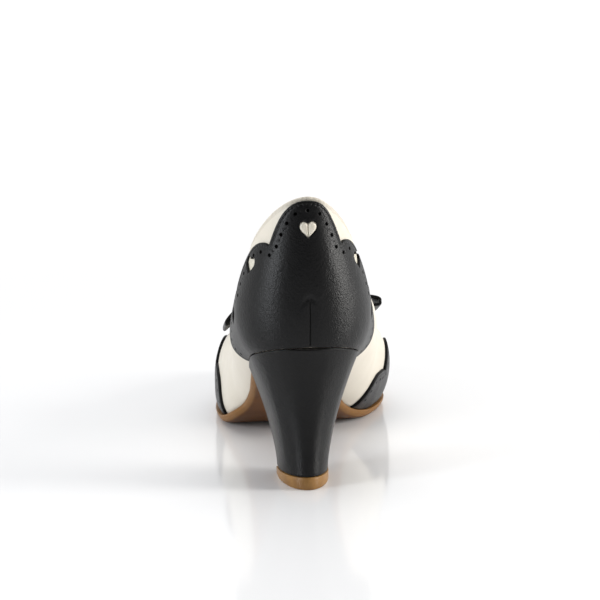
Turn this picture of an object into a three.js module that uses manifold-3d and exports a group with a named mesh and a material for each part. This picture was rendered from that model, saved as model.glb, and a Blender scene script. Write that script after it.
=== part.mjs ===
// High heel pump for the left foot: a cream upper with a black scalloped counter and wingtip, heart cut-outs, a flared
// block heel and a flat bow at the throat.
// Millimetres, +Z up, toe along +Y, the foot's inner side along +X, origin on the floor at the middle of the heel's tread.
import * as THREE from "three";
import { mergeVertices } from "three/addons/utils/BufferGeometryUtils.js";
import Module from "manifold-3d";

const wasm = await Module();
wasm.setup();

// The last, the form that the upper is pulled over. Its bottom edge is called the feather line.
const LAST_LENGTH = 222; // feather line from the heel to the toe, seen from above
const BALL_WIDTH = 75.5; // feather line across the ball
const HEEL_RISE = 65; // feather line at the back, above the feather line at the ball
const BACK_HEIGHT = 67; // from the feather line up to the topline at the centre back
const THROAT_HEIGHT = 54; // the topline at the throat, above the feather line at the ball
const COLLAR_LENGTH = 120; // topline from the back to the throat, seen from above
const COLLAR_WIDTH = 62; // topline at its widest
const COLLAR_INSET = 2; // the topline at the back lies this far in front of the feather line

// Walls and layers
const UPPER_WALL = 1.6;
const LASTING_MARGIN = 7; // the upper's edge turned in under the insole
const OVERLAY = 1.2; // thickness of counter and wingtip
const INSOLE_THICKNESS = 2.4;
const INSOLE_INSET = 0.8; // inside the feather line
const GAP = 0.3; // between pieces that meet

// Sole, heel and top lift
const SOLE_THICKNESS = 4.3;
const WAIST_THICKNESS = 2.8; // of the sole between heel and ball
const SOLE_PROJECTION = 1.2; // beyond the wingtip's outer face, and none at the waist
const SOLE_BEVEL = 4.4; // the flat underside begins this far in from the edge
const TREAD_WIDTH = 24;
const TREAD_DEPTH = 30;
const HEEL_OVERHANG = 6; // the feather line's back lies this far behind the tread
const BREAST_REACH = 8; // the heel's breast under the seat lies this far in front of the tread
const LIFT_BACK = 6;
const LIFT_FRONT = 3.6;

// Ornament
const HEART_WIDTH = 8;
const BOW_LOOP_LENGTH = 41;
const BOW_LOOP_WIDTH = 22;
const BOW_LOOP_HEIGHT = 7.2;
const BOW_RIBBON = 1.8;
const BOW_SAG = 1.2; // the inner loop's end hangs this far down
const BOW_DROOP = 10; // and the outer loop's this far
const KNOT_LENGTH = 9;
const KNOT_WIDTH = 13;
const KNOT_HEIGHT = 7;

// Stations along the feather line. Columns: at, share of LAST_LENGTH from the back; lift, share of HEEL_RISE;
// shift, of the middle towards the inner side, and outer and inner, half widths, as shares of BALL_WIDTH;
// collar, the share of COLLAR_LENGTH where the wall from this station ends.
const FEATHER = [
  { at: 0.0, lift: 1.0, shift: 0.0, outer: 0.297, inner: 0.297, collar: 0.0 },
  { at: 0.12, lift: 0.85, shift: 0.004, outer: 0.297, inner: 0.297, collar: 0.215 },
  { at: 0.23, lift: 0.665, shift: 0.018, outer: 0.29, inner: 0.278, collar: 0.4 },
  { at: 0.34, lift: 0.44, shift: 0.044, outer: 0.297, inner: 0.24, collar: 0.56 },
  { at: 0.44, lift: 0.22, shift: 0.075, outer: 0.345, inner: 0.268, collar: 0.67 },
  { at: 0.5, lift: 0.1, shift: 0.097, outer: 0.418, inner: 0.31, collar: 0.725 },
  { at: 0.55, lift: 0.031, shift: 0.117, outer: 0.468, inner: 0.37, collar: 0.766 },
  { at: 0.6, lift: 0.0, shift: 0.141, outer: 0.51, inner: 0.44, collar: 0.806 },
  { at: 0.66, lift: 0.0, shift: 0.169, outer: 0.545, inner: 0.505, collar: 0.845 },
  { at: 0.72, lift: 0.0, shift: 0.195, outer: 0.552, inner: 0.53, collar: 0.883 },
  { at: 0.87, lift: 0.035, shift: 0.245, outer: 0.505, inner: 0.51, collar: 0.96 },
  { at: 1.0, lift: 0.13, shift: 0.275, outer: 0.46, inner: 0.48, collar: 1.0 },
];
const HEEL_END = { length: 0.115, power: 2.3 }; // share of LAST_LENGTH over which the outline rounds to the back
const TOE_END = { length: 0.3, power: 2.3 }; // and to the toe

// Stations along the topline. Columns: at, share of COLLAR_LENGTH; height, share of the way from THROAT_HEIGHT (0) up to
// the centre back (1); shift, share of BALL_WIDTH; half, half width as a share of COLLAR_WIDTH.
const TOPLINE = [
  { at: 0.0, height: 1.0, shift: -0.008, half: 0.333 },
  { at: 0.03, height: 0.945, shift: -0.014, half: 0.334 },
  { at: 0.1, height: 0.825, shift: -0.01, half: 0.34 },
  { at: 0.2, height: 0.66, shift: 0.0, half: 0.36 },
  { at: 0.3, height: 0.505, shift: 0.022, half: 0.39 },
  { at: 0.4, height: 0.375, shift: 0.052, half: 0.425 },
  { at: 0.55, height: 0.225, shift: 0.096, half: 0.462 },
  { at: 0.72, height: 0.11, shift: 0.131, half: 0.48 },
  { at: 0.88, height: 0.03, shift: 0.15, half: 0.47 },
  { at: 1.0, height: 0.0, shift: 0.158, half: 0.46 },
];
const COLLAR_BACK_END = { length: 0.2, power: 1.5 };
const THROAT_END = { length: 0.34, power: 2.2 };

// How the wall runs between feather line and topline, as the two handles of a curve. Columns: at, share of LAST_LENGTH;
// outer and inner (side) and rise, out and up from the feather line; lean and drop, out and down from the topline.
// Shares of BALL_WIDTH.
const WALL = [
  { at: 0.0, outer: 0.05, inner: 0.05, rise: 0.2, lean: 0.035, drop: 0.3 },
  { at: 0.12, outer: 0.14, inner: 0.14, rise: 0.14, lean: 0.09, drop: 0.24 },
  { at: 0.3, outer: 0.18, inner: 0.22, rise: 0.12, lean: 0.115, drop: 0.18 },
  { at: 0.45, outer: 0.13, inner: 0.25, rise: 0.1, lean: 0.08, drop: 0.15 },
  { at: 0.6, outer: 0.06, inner: 0.14, rise: 0.1, lean: 0.17, drop: 0.15 },
  { at: 0.75, outer: 0.05, inner: 0.07, rise: 0.15, lean: 0.42, drop: 0.18 },
  { at: 0.87, outer: 0.04, inner: 0.04, rise: 0.22, lean: 0.7, drop: 0.26 },
  { at: 1.0, outer: 0.03, inner: 0.03, rise: 0.25, lean: 0.85, drop: 0.34 },
];

// Notches of the scalloped edges, from the middle to the end of each side. Columns: inner and outer (side), share of
// the way round that side from the back (0) to the toe (1); up, share of the way from feather line to topline; ahead
// and above, how far the scallop that ends at this notch swells, in the same shares.
const COUNTER_NOTCHES = [
  { inner: 0.0, outer: 0.0, up: 0.985, ahead: 0.0, above: 0.0 },
  { inner: 0.106, outer: 0.112, up: 0.795, ahead: 0.0, above: 0.07 },
  { inner: 0.21, outer: 0.218, up: 0.65, ahead: 0.018, above: 0.15 },
  { inner: 0.275, outer: 0.27, up: 0.02, ahead: 0.07, above: 0.09 },
];
const WING_NOTCHES = [
  { inner: 1.0, outer: 1.0, up: 0.76, ahead: 0.0, above: 0.0 },
  { inner: 0.84, outer: 0.86, up: 0.55, ahead: 0.0, above: 0.02 },
  { inner: 0.7, outer: 0.76, up: 0.53, ahead: 0.0, above: 0.1 },
  { inner: 0.585, outer: 0.655, up: 0.41, ahead: 0.0, above: 0.13 },
  { inner: 0.51, outer: 0.54, up: 0.03, ahead: -0.025, above: 0.13 },
];
const SCALLOP_STEPS = 7;
const SCALLOP_POWER = 0.8; // below 1 the scallop is full, and its notches are sharp

// Hearts on the counter. Columns: at, as for the notches; up, share of the way to the topline; side, +1 inner, -1 outer.
const HEARTS = [
  { at: 0.0, up: 0.8, side: 1 },
  { at: 0.17, up: 0.755, side: 1 },
  { at: 0.17, up: 0.74, side: -1 },
  { at: 0.235, up: 0.46, side: 1 },
  { at: 0.242, up: 0.47, side: -1 },
];
const BOW_UP = 0.93; // share of the way from the toe's feather line to the throat

// Heights above the floor, and places along +Y
const featherLow = SOLE_THICKNESS + GAP + UPPER_WALL;
const lastBack = -TREAD_DEPTH / 2 - HEEL_OVERHANG;
const breastY = TREAD_DEPTH / 2 + BREAST_REACH;
const backTop = featherLow + HEEL_RISE + BACK_HEIGHT;
const throatTop = featherLow + THROAT_HEIGHT;

// Smooth curve through one column of a table, with no overshoot: level between equal values.
function column(rows, name) {
  const x = rows.map((row) => row.at);
  const y = rows.map((row) => row[name]);
  const rate = x.slice(1).map((end, i) => (y[i + 1] - y[i]) / (end - x[i]));
  const slope = x.map((_, i) => {
    if (i === 0) return rate[0];
    if (i === x.length - 1) return rate[i - 1];
    const [before, after] = [rate[i - 1], rate[i]];
    return before * after <= 0 ? 0 : (2 * before * after) / (before + after);
  });
  return (at) => {
    let i = 0;
    while (i < x.length - 2 && at > x[i + 1]) i += 1;
    const span = x[i + 1] - x[i];
    const t = THREE.MathUtils.clamp((at - x[i]) / span, 0, 1);
    const start = y[i] * (1 + 2 * t) * (1 - t) ** 2 + slope[i] * span * t * (1 - t) ** 2;
    return start + y[i + 1] * t * t * (3 - 2 * t) + slope[i + 1] * span * t * t * (t - 1);
  };
}

// Factor that rounds an outline off towards its two ends.
function endRound(at, back, front) {
  const q = Math.max((back.length - at) / back.length, (at - 1 + front.length) / front.length, 0);
  const power = at < 0.5 ? back.power : front.power;
  return Math.sqrt(Math.max(1 - q ** power, 0));
}

const feather = Object.fromEntries(
  ["lift", "shift", "outer", "inner", "collar"].map((name) => [name, column(FEATHER, name)]),
);
const topline = Object.fromEntries(
  ["height", "shift", "half"].map((name) => [name, column(TOPLINE, name)]),
);
const wall = Object.fromEntries(
  ["outer", "inner", "rise", "lean", "drop"].map((name) => [name, column(WALL, name)]),
);

// Round the shoe: turn 0 at the centre back, 0.5 at the toe, inner side first. The station is the share of the length.
const stationOf = (turn) => (1 - Math.cos(2 * Math.PI * turn)) / 2;
const turnOf = (station) => Math.acos(1 - 2 * station) / (2 * Math.PI);
const sideOf = (turn) => (turn - Math.floor(turn) < 0.5 ? 1 : -1);

// Height of the last's bottom, which runs straight across the shoe.
function bottomAt(y) {
  const at = THREE.MathUtils.clamp((y - lastBack) / LAST_LENGTH, 0, 1);
  return featherLow + HEEL_RISE * feather.lift(at);
}

function featherPoint(turn) {
  const at = stationOf(turn);
  const side = sideOf(turn);
  const half = (side > 0 ? feather.inner(at) : feather.outer(at)) * endRound(at, HEEL_END, TOE_END);
  const y = lastBack + LAST_LENGTH * at;
  return new THREE.Vector3(BALL_WIDTH * (feather.shift(at) + side * half), y, bottomAt(y));
}

function toplinePoint(turn) {
  const at = feather.collar(stationOf(turn));
  const half = COLLAR_WIDTH * topline.half(at) * endRound(at, COLLAR_BACK_END, THROAT_END);
  return new THREE.Vector3(
    BALL_WIDTH * topline.shift(at) + sideOf(turn) * half,
    lastBack + COLLAR_INSET + COLLAR_LENGTH * at,
    throatTop + (backTop - throatTop) * topline.height(at),
  );
}

// Direction that points out of a closed line at a turn, seen from above.
function outward(line, turn) {
  const step = 1e-3;
  const along = line(turn + step).sub(line(turn - step));
  return new THREE.Vector3(along.y, -along.x, 0).normalize();
}

// Point beside the feather line: out from it, and above the last's bottom.
function besideFeather(turn, out, above) {
  const point = featherPoint(turn).addScaledVector(outward(featherPoint, turn), out);
  return point.setZ(bottomAt(point.y) + above);
}

// Point of the last's surface: up is 0 at the feather line and 1 at the topline.
function lastPoint(turn, up) {
  const at = stationOf(turn);
  const start = featherPoint(turn);
  const end = toplinePoint(turn);
  const belly = sideOf(turn) > 0 ? wall.inner(at) : wall.outer(at);
  const low = outward(featherPoint, turn).multiplyScalar(BALL_WIDTH * belly);
  const high = outward(toplinePoint, turn).multiplyScalar(BALL_WIDTH * wall.lean(at));
  low.z = BALL_WIDTH * wall.rise(at);
  high.z = -BALL_WIDTH * wall.drop(at);
  const curve = new THREE.CubicBezierCurve3(start, start.clone().add(low), end.clone().add(high), end);
  return curve.getPoint(up);
}

function lastNormal(turn, up) {
  const step = 1e-3;
  const [low, high] = [Math.max(up - step, 0), Math.min(up + step, 1)];
  const along = lastPoint(turn + step, up).sub(lastPoint(turn - step, up));
  const rise = lastPoint(turn, high).sub(lastPoint(turn, low));
  return along.cross(rise).normalize();
}

// Point at a height above the last's surface, no lower than the upper's own underside.
function lifted(turn, up, height) {
  const point = lastPoint(turn, up).addScaledVector(lastNormal(turn, up), height);
  return point.setZ(Math.max(point.z, bottomAt(point.y) - UPPER_WALL));
}

// Mesh of rings of points: each ring is a closed loop, and the rings run in order from one end to the other.
// ends says how it closes: "joined" joins the last ring to the first, "across" fills the end rings with strips between
// points that face each other, and "pointed" does so for rings that start on the middle line.
function ringMesh(rings, ends) {
  const count = rings[0].length;
  const index = [];
  const at = (ring, i) => (ring % rings.length) * count + (i % count);
  const last = ends === "joined" ? rings.length : rings.length - 1;
  for (let ring = 0; ring < last; ring += 1)
    for (let i = 0; i < count; i += 1) {
      index.push(at(ring, i), at(ring, i + 1), at(ring + 1, i + 1));
      index.push(at(ring, i), at(ring + 1, i + 1), at(ring + 1, i));
    }
  const facing = (i) => (ends === "pointed" ? count - i : count - 1 - i);
  const fill = (ring, turned) => {
    for (let i = 0; i < (count - 1) / 2; i += 1) {
      const corners = [i, i + 1, facing(i + 1), facing(i)].map((k) => at(ring, k));
      const [a, b, c, d] = turned ? corners : corners.reverse();
      if (a !== b && b !== c) index.push(a, b, c);
      if (a !== d && c !== d) index.push(a, c, d);
    }
  };
  if (ends !== "joined") {
    fill(0, false);
    fill(rings.length - 1, true);
  }
  const geometry = new THREE.BufferGeometry();
  geometry.setAttribute("position", new THREE.Float32BufferAttribute(rings.flat().flatMap((p) => p.toArray()), 3));
  geometry.setIndex(index);
  return geometry;
}

const colours = {
  cream: { color: 0xe9e4d6, roughness: 0.55, metalness: 0 },
  black: { color: 0x1c1b1a, roughness: 0.45, metalness: 0 },
  tan: { color: 0x9a7447, roughness: 0.6, metalness: 0 },
  sock: { color: 0xcdbd9f, roughness: 0.8, metalness: 0 },
};

const shoe = new THREE.Group();
function place(name, geometry, colour) {
  geometry.computeVertexNormals();
  const mesh = new THREE.Mesh(geometry, new THREE.MeshStandardMaterial(colours[colour]));
  mesh.name = name;
  shoe.add(mesh);
}

// Pieces round the shoe share these turns, so that their facets lie side by side.
const TURNS = 84;
const allTurns = Array.from({ length: TURNS }, (_, i) => i / TURNS);
const turnsFrom = (first) => [first, ...allTurns.filter((turn) => turn > first && turn < 1 - first), 1 - first];

// Upper: the wall over the last, open at the topline, with its margin turned in below.
const UPPER_STEPS = 12;
function upperGeometry() {
  const rings = allTurns.map((turn) => {
    const ups = Array.from({ length: UPPER_STEPS + 1 }, (_, step) => step / UPPER_STEPS);
    const outside = ups.map((up) => lifted(turn, up, UPPER_WALL));
    const inside = ups.map((up) => lastPoint(turn, up)).reverse();
    const margin = [
      besideFeather(turn, -LASTING_MARGIN, 0),
      besideFeather(turn, -LASTING_MARGIN, -UPPER_WALL),
      besideFeather(turn, 0, -UPPER_WALL),
    ];
    return [...outside, ...inside, ...margin];
  });
  return ringMesh(rings.reverse(), "joined");
}
place("upper", upperGeometry(), "cream");

// Insole: a board inside the upper, over the turned-in margin.
const insoleRing = (above) => allTurns.map((turn) => besideFeather(turn, -INSOLE_INSET, above));
place("insole", ringMesh([insoleRing(GAP), insoleRing(GAP + INSOLE_THICKNESS)], "pointed"), "sock");

// Outsole: from the heel's breast to the toe, with a bevelled edge.
const soleTurn = turnOf((breastY + GAP - lastBack) / LAST_LENGTH);
const waistShare = (turn) => 1 - THREE.MathUtils.smoothstep(stationOf(turn), 0.4, 0.58);
const soleEdge = (turn) => UPPER_WALL + (GAP + OVERLAY + SOLE_PROJECTION) * (1 - waistShare(turn));
const soleThickness = (turn) => THREE.MathUtils.lerp(SOLE_THICKNESS, WAIST_THICKNESS, waistShare(turn));
const soleRing = (down, inset) =>
  turnsFrom(soleTurn).map((turn) =>
    besideFeather(turn, soleEdge(turn) - inset, -UPPER_WALL - GAP - down * soleThickness(turn)),
  );
// Rounding of the sole's edge. Columns: down, share of the thickness; inset, share of SOLE_BEVEL.
const SOLE_EDGE = [
  { down: 1, inset: 1 },
  { down: 0.8, inset: 0.35 },
  { down: 0.45, inset: 0.08 },
  { down: 0, inset: 0 },
];
const soleRings = SOLE_EDGE.map(({ down, inset }) => soleRing(down, inset * SOLE_BEVEL));
place("outsole", ringMesh(soleRings, "across"), "tan");

// Heel: from the seat down to the top lift. Its outline is the seat's, and shrinks to the tread's on the way down.
const HEEL_STEPS = 11;
const HEEL_ARC = 16; // points on each side of the centre back
const TREAD_ROUND = 0.85; // share of the tread's depth that its rounded back takes
const heelTurn = turnOf((breastY - lastBack) / LAST_LENGTH);
const FLARE = { back: 2.4, side: 1.56, breast: 1.25 }; // how late the heel widens on its way up
const liftTopAt = (y) => THREE.MathUtils.mapLinear(y, -TREAD_DEPTH / 2, TREAD_DEPTH / 2, LIFT_BACK, LIFT_FRONT);

function heelTop(i) {
  const turn = (heelTurn * i) / HEEL_ARC;
  return besideFeather(turn, UPPER_WALL + GAP + OVERLAY, -UPPER_WALL - GAP);
}
// The tread: a long rounded back and short straight sides that end at the breast.
function treadPoint(i, inset) {
  const share = Math.abs(i) / HEEL_ARC;
  const angle = (Math.PI / 2) * Math.min(share / TREAD_ROUND, 1);
  const forward = Math.max(share - TREAD_ROUND, 0) / (1 - TREAD_ROUND);
  const depth = TREAD_ROUND * TREAD_DEPTH;
  return new THREE.Vector3(
    Math.sign(i) * (TREAD_WIDTH / 2 - inset) * Math.sin(angle),
    -TREAD_DEPTH / 2 + depth - (depth - inset) * Math.cos(angle) + (TREAD_DEPTH - depth - inset) * forward,
    0,
  );
}
const arc = Array.from({ length: 2 * HEEL_ARC + 1 }, (_, i) => i - HEEL_ARC);
function heelRing(down) {
  return arc.map((i) => {
    const top = heelTop(i);
    const low = treadPoint(i, GAP);
    low.z = liftTopAt(low.y) + GAP;
    const front = Math.abs(i) / HEEL_ARC;
    const power = THREE.MathUtils.lerp(FLARE.back, FLARE.side, Math.min(front * 2, 1));
    const wide = (1 - down) ** power;
    const deep = (1 - down) ** THREE.MathUtils.lerp(power, FLARE.breast, Math.max(2 * front - 1, 0));
    return new THREE.Vector3(
      low.x + (top.x - low.x) * wide,
      low.y + (top.y - low.y) * deep,
      THREE.MathUtils.lerp(top.z, low.z, down),
    );
  });
}
const heelRings = Array.from({ length: HEEL_STEPS + 1 }, (_, step) => heelRing(1 - step / HEEL_STEPS));
place("heel", ringMesh(heelRings, "across"), "black");

// Top lift: the wear piece under the heel, thicker at the back.
const liftRing = (raise) =>
  arc.map((i) => {
    const point = treadPoint(i, 0);
    point.z = raise ? liftTopAt(point.y) : 0;
    return point;
  });
place("top_lift", ringMesh([liftRing(false), liftRing(true)], "across"), "tan");

// Scalloped overlays: a layer on the upper, from the feather line up to a scalloped edge.
function scallopEdge(notches, side) {
  const edge = [];
  notches.slice(1).forEach((end, i) => {
    const start = notches[i];
    for (let step = 0; step < SCALLOP_STEPS; step += 1) {
      const t = step / SCALLOP_STEPS;
      const swell = Math.sin(Math.PI * t) ** SCALLOP_POWER;
      edge.push({
        at: THREE.MathUtils.lerp(start[side], end[side], t) + end.ahead * swell,
        up: THREE.MathUtils.lerp(start.up, end.up, t) + end.above * swell,
      });
    }
  });
  edge.push({ at: notches.at(-1)[side], up: notches.at(-1).up });
  return edge;
}

// Each ring runs up the wall from a point of the feather line to a point of the edge. The points of the feather line are
// evenly spread between the middle and the overlay's end, so that the rings fan out under the scallops.
const OVERLAY_STEPS = 8;
function overlayGeometry(notches, middleTurn) {
  const ringsOf = (side, sign) => {
    const edge = scallopEdge(notches, side);
    return edge.map(({ at, up }, i) => {
      const base = THREE.MathUtils.lerp(edge[0].at, edge.at(-1).at, i / (edge.length - 1));
      const spot = (share) => [sign * (THREE.MathUtils.lerp(base, at, share) / 2), up * share];
      const shares = Array.from({ length: OVERLAY_STEPS + 1 }, (_, step) => step / OVERLAY_STEPS);
      const outside = shares.map((share) => lifted(...spot(share), UPPER_WALL + GAP + OVERLAY));
      const inside = shares.map((share) => lifted(...spot(share), UPPER_WALL + GAP)).reverse();
      return [...outside, ...inside];
    });
  };
  const [inner, outer] = [ringsOf("inner", 1), ringsOf("outer", -1).slice(1)];
  const rings = middleTurn > 0 ? [...inner.reverse(), ...outer] : [...outer.reverse(), ...inner];
  return ringMesh(rings.reverse(), "across");
}

// Solids for cutting
function solidOf(geometry) {
  const bare = new THREE.BufferGeometry();
  bare.setAttribute("position", geometry.getAttribute("position"));
  if (geometry.index) bare.setIndex(geometry.index);
  const merged = mergeVertices(bare, 1e-4);
  return new wasm.Manifold(
    new wasm.Mesh({
      numProp: 3,
      vertProperties: merged.getAttribute("position").array,
      triVerts: new Uint32Array(merged.index.array),
    }),
  );
}
function geometryOf(solid) {
  const { vertProperties, triVerts } = solid.getMesh();
  const geometry = new THREE.BufferGeometry();
  geometry.setAttribute("position", new THREE.BufferAttribute(vertProperties, 3));
  geometry.setIndex(new THREE.BufferAttribute(triVerts, 1));
  return geometry;
}

// A heart of width 1 with its middle at the origin, point down.
function heartShape() {
  const shape = new THREE.Shape();
  shape.moveTo(0, -0.5);
  shape.bezierCurveTo(-0.12, -0.3, -0.5, -0.08, -0.5, 0.2);
  shape.bezierCurveTo(-0.5, 0.5, -0.1, 0.56, 0, 0.3);
  shape.bezierCurveTo(0.1, 0.56, 0.5, 0.5, 0.5, 0.2);
  shape.bezierCurveTo(0.5, -0.08, 0.12, -0.3, 0, -0.5);
  return shape;
}

// The cutter stands on the wall, along its normal, with its point down the wall.
function heartCutter({ at, up, side }) {
  const turn = (side * at) / 2;
  const reach = 4 * (UPPER_WALL + OVERLAY);
  const geometry = new THREE.ExtrudeGeometry(heartShape(), { depth: 1, bevelEnabled: false, curveSegments: 5 });
  const normal = lastNormal(turn, up);
  const rise = lastPoint(turn, up + 0.02).sub(lastPoint(turn, up - 0.02)).normalize();
  const across = rise.clone().cross(normal);
  const frame = new THREE.Matrix4().makeBasis(across, rise, normal);
  frame.setPosition(lifted(turn, up, UPPER_WALL + GAP + OVERLAY / 2 - reach / 2));
  return geometry.scale(HEART_WIDTH, HEART_WIDTH, reach).applyMatrix4(frame);
}

const cutters = HEARTS.map((heart) => solidOf(heartCutter(heart)));
const counter = cutters.reduce((solid, cutter) => solid.subtract(cutter), solidOf(overlayGeometry(COUNTER_NOTCHES, 0)));
place("counter", geometryOf(counter), "black");
place("wingtip", overlayGeometry(WING_NOTCHES, 1), "black");

// Bow: two ribbon loops and a knot, lying on the vamp in front of the throat.
const bow = new THREE.Group();
{
  const turn = 0.5;
  const normal = lastNormal(turn, BOW_UP);
  const down = lastPoint(turn, BOW_UP - 0.02).sub(lastPoint(turn, BOW_UP + 0.02)).normalize();
  const frame = new THREE.Matrix4().makeBasis(down.clone().cross(normal), down, normal);
  frame.setPosition(lifted(turn, BOW_UP, UPPER_WALL + GAP));
  frame.decompose(bow.position, bow.quaternion, bow.scale);
}

// A loop is a band led out from the knot, round its end and back. side is +1 for the inner loop, -1 for the outer one.
const LOOP_STEPS = 26;
const LOOP_POWER = 0.4; // below 1 the loop's end is full and round
function loopMiddle(side, angle) {
  const out = (1 - Math.cos(angle)) / 2;
  const start = KNOT_LENGTH / 2 + GAP + BOW_RIBBON / 2;
  const open = 0.32 + 0.68 * Math.sin(Math.min(out * 1.25, 1) * (Math.PI / 2));
  const half = ((BOW_LOOP_HEIGHT - BOW_RIBBON) / 2) * open;
  const droop = (side < 0 ? BOW_DROOP : BOW_SAG) * out ** 4;
  const bulge = Math.sign(Math.sin(angle)) * Math.abs(Math.sin(angle)) ** LOOP_POWER;
  return new THREE.Vector2(
    start + (BOW_LOOP_LENGTH - start - BOW_RIBBON / 2) * out,
    BOW_LOOP_HEIGHT / 2 + half * bulge - droop,
  );
}
function loopGeometry(side) {
  const rings = [];
  for (let step = 0; step < LOOP_STEPS; step += 1) {
    const angle = (2 * Math.PI * step) / LOOP_STEPS;
    const out = (1 - Math.cos(angle)) / 2;
    const middle = loopMiddle(side, angle);
    const along = loopMiddle(side, angle + 0.02).sub(loopMiddle(side, angle - 0.02));
    const across = new THREE.Vector2(-along.y, along.x).normalize();
    const width = (BOW_LOOP_WIDTH / 2) * (0.42 + 0.58 * Math.sin(Math.min(out * 1.1, 1) * (Math.PI / 2)));
    const corner = (thick, wide) =>
      new THREE.Vector3(
        side * (middle.x + (across.x * thick * BOW_RIBBON) / 2),
        wide * width,
        middle.y + (across.y * thick * BOW_RIBBON) / 2,
      );
    rings.push([corner(1, -1), corner(1, 1), corner(-1, 1), corner(-1, -1)]);
  }
  return ringMesh(side > 0 ? rings.reverse() : rings, "joined");
}

function knotGeometry() {
  const geometry = new THREE.SphereGeometry(0.5, 14, 10);
  const position = geometry.getAttribute("position");
  for (let i = 0; i < position.count; i += 1) {
    const point = new THREE.Vector3().fromBufferAttribute(position, i).multiplyScalar(2);
    const square = (value) => Math.sign(value) * Math.abs(value) ** 0.6;
    position.setXYZ(i, square(point.x) / 2, square(point.y) / 2, square(point.z) / 2);
  }
  return geometry.scale(KNOT_LENGTH, KNOT_WIDTH, KNOT_HEIGHT).translate(0, 0, KNOT_HEIGHT / 2);
}

const bowParts = { bow_loop_inner: loopGeometry(1), bow_loop_outer: loopGeometry(-1), bow_knot: knotGeometry() };
for (const [name, geometry] of Object.entries(bowParts)) {
  place(name, geometry, "black");
  bow.add(shoe.children.at(-1));
}
shoe.add(bow);

export default shoe;
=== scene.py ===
import bmesh
import bpy
import numpy as np
from mathutils import Matrix


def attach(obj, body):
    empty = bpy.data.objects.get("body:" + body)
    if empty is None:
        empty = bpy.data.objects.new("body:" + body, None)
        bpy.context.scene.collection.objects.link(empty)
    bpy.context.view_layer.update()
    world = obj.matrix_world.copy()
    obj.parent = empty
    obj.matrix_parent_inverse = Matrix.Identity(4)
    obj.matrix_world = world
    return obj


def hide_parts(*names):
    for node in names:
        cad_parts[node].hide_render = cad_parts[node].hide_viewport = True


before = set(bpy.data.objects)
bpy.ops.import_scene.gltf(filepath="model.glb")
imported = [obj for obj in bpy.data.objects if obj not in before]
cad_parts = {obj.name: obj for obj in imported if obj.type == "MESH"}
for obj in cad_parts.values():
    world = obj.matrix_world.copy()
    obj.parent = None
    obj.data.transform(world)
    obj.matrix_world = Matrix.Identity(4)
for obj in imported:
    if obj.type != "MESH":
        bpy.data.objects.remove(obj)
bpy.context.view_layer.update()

# ---------------------------------------------------------------------------------------------------------------------
# The upper: cream leather pulled over a last and turned in under the insole, lined inside, its collar folded and
# stitched. The last is given by stations along its bottom edge, the feather line, and along the topline.
MM = 0.001
LAST_LENGTH, BALL_WIDTH, HEEL_RISE, LAST_BACK = 222 * MM, 75.5 * MM, 65 * MM, -21 * MM
BACK_TOP, THROAT_TOP, COLLAR_LENGTH, COLLAR_WIDTH = 138.2 * MM, 60.2 * MM, 120 * MM, 62 * MM
FEATHER_LOW, COLLAR_INSET, LASTING_MARGIN = 6.2 * MM, 2 * MM, 7 * MM
UPPER_WALL, GAP, OVERLAY = 1.6 * MM, 0.3 * MM, 1.2 * MM


def smooth_curve(x, y):
    """Curve through points with no overshoot: each slope is the harmonic mean of those of the spans beside it."""
    rate = np.diff(y) / np.diff(x)
    same = rate[:-1] * rate[1:] > 0
    mean = 2 * rate[:-1] * rate[1:] / np.where(same, rate[:-1] + rate[1:], 1)
    slope = np.concatenate([rate[:1], np.where(same, mean, 0), rate[-1:]])

    def value(at):
        """Cubic through two points with a slope at each."""
        i = np.clip(np.searchsorted(x, at) - 1, 0, len(x) - 2)
        span = x[i + 1] - x[i]
        t = np.clip((at - x[i]) / span, 0, 1)
        start = y[i] * (1 + 2 * t) * (1 - t) ** 2 + slope[i] * span * t * (1 - t) ** 2
        return start + y[i + 1] * t * t * (3 - 2 * t) + slope[i + 1] * span * t * t * (t - 1)

    return value


def stations(names, rows):
    """One smooth curve for each named column of a table; the first column is the station."""
    table = np.array(rows)
    return {name: smooth_curve(table[:, 0], table[:, k + 1]) for k, name in enumerate(names.split())}


# Station as a share of the last's length; lift of HEEL_RISE; shift, outer and inner of BALL_WIDTH; collar, the share of
# COLLAR_LENGTH where the wall from this station ends.
FEATHER = stations(
    "lift shift outer inner collar",
    [
        (0.00, 1.000, 0.000, 0.297, 0.297, 0.000),
        (0.12, 0.850, 0.004, 0.297, 0.297, 0.215),
        (0.23, 0.665, 0.018, 0.290, 0.278, 0.400),
        (0.34, 0.440, 0.044, 0.297, 0.240, 0.560),
        (0.44, 0.220, 0.075, 0.345, 0.268, 0.670),
        (0.50, 0.100, 0.097, 0.418, 0.310, 0.725),
        (0.55, 0.031, 0.117, 0.468, 0.370, 0.766),
        (0.60, 0.000, 0.141, 0.510, 0.440, 0.806),
        (0.66, 0.000, 0.169, 0.545, 0.505, 0.845),
        (0.72, 0.000, 0.195, 0.552, 0.530, 0.883),
        (0.87, 0.035, 0.245, 0.505, 0.510, 0.960),
        (1.00, 0.130, 0.275, 0.460, 0.480, 1.000),
    ],
)
# Station as a share of COLLAR_LENGTH; height from the throat (0) to the back (1); shift of BALL_WIDTH; half width of
# COLLAR_WIDTH.
TOPLINE = stations(
    "height shift half",
    [
        (0.00, 1.000, -0.008, 0.333),
        (0.03, 0.945, -0.014, 0.334),
        (0.10, 0.825, -0.010, 0.340),
        (0.20, 0.660, 0.000, 0.360),
        (0.30, 0.505, 0.022, 0.390),
        (0.40, 0.375, 0.052, 0.425),
        (0.55, 0.225, 0.096, 0.462),
        (0.72, 0.110, 0.131, 0.480),
        (0.88, 0.030, 0.150, 0.470),
        (1.00, 0.000, 0.158, 0.460),
    ],
)
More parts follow.
